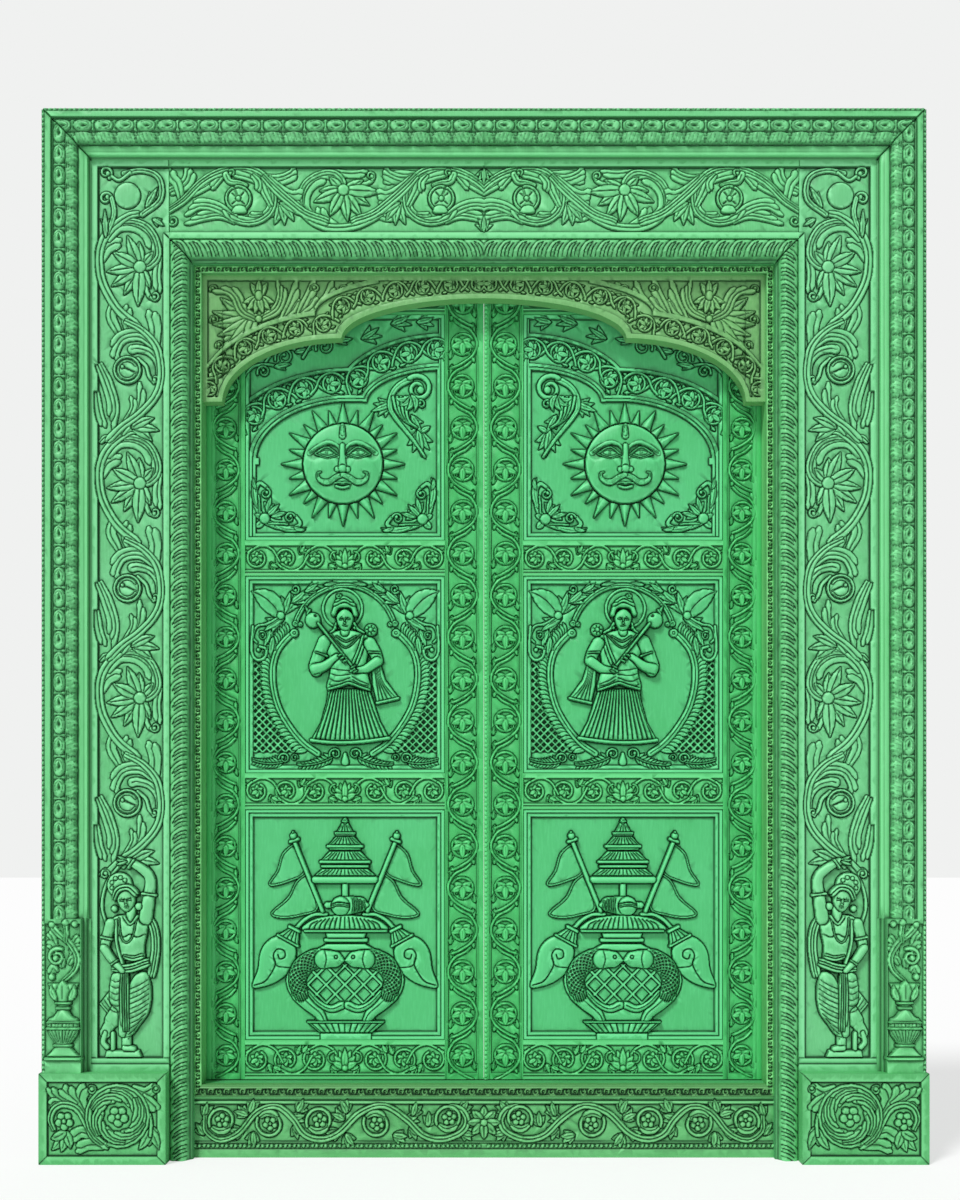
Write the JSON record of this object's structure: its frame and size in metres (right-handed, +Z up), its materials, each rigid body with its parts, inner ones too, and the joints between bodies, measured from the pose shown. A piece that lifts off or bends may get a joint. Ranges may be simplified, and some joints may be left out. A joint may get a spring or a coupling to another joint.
{
  "type": "carved double door",
  "caption": "Carved double-leaf door with its surround: multifoil arch board, sun, figure and vase panels, scroll boards, rope moulding, sill and plinths.",
  "frame": {"origin": "on the floor, in the middle of the overall width and depth", "axes": "+X to the viewer's right, +Y away from the carved front, +Z up"},
  "size_m": [2.314, 0.215, 2.751],
  "materials": {
    "painted_wood": "worn matt green paint"
  },
  "bodies": {
    "surround": {"arch_board": "painted_wood", "head": "painted_wood", "left_jamb": "painted_wood", "left_outer_moulding": "painted_wood", "left_plinth": "painted_wood", "left_rope_moulding": "painted_wood", "left_scroll_board": "painted_wood", "left_stop_bead": "painted_wood", "lintel_board": "painted_wood", "right_jamb": "painted_wood", "right_outer_moulding": "painted_wood", "right_plinth": "painted_wood", "right_rope_moulding": "painted_wood", "right_scroll_board": "painted_wood", "right_stop_bead": "painted_wood", "sill": "painted_wood", "sill_bead": "painted_wood", "sill_board": "painted_wood", "top_outer_moulding": "painted_wood", "top_rope_moulding": "painted_wood", "top_stop_bead": "painted_wood"},
    "left_leaf": {"left_hinge_stile": "painted_wood", "left_meeting_stile": "painted_wood", "left_bottom_rail": "painted_wood", "left_lower_rail": "painted_wood", "left_upper_rail": "painted_wood", "left_top_rail": "painted_wood", "left_vase_panel": "painted_wood", "left_figure_panel": "painted_wood", "left_sun_panel": "painted_wood"},
    "right_leaf": {"right_hinge_stile": "painted_wood", "right_meeting_stile": "painted_wood", "right_bottom_rail": "painted_wood", "right_lower_rail": "painted_wood", "right_upper_rail": "painted_wood", "right_top_rail": "painted_wood", "right_vase_panel": "painted_wood", "right_figure_panel": "painted_wood", "right_sun_panel": "painted_wood", "bead_strip": "painted_wood"}
  },
  "joints": [
    {"name": "left_leaf_hinge", "type": "hinge", "parent": "surround", "child": "left_leaf", "pos_m": [-0.741, 0.0825, 0.198], "axis": [0, 0, 1], "range_deg": [0, 92]},
    {"name": "right_leaf_hinge", "type": "hinge", "parent": "surround", "child": "right_leaf", "pos_m": [0.741, 0.0825, 0.198], "axis": [0, 0, -1], "range_deg": [0, 92]}
  ]
}
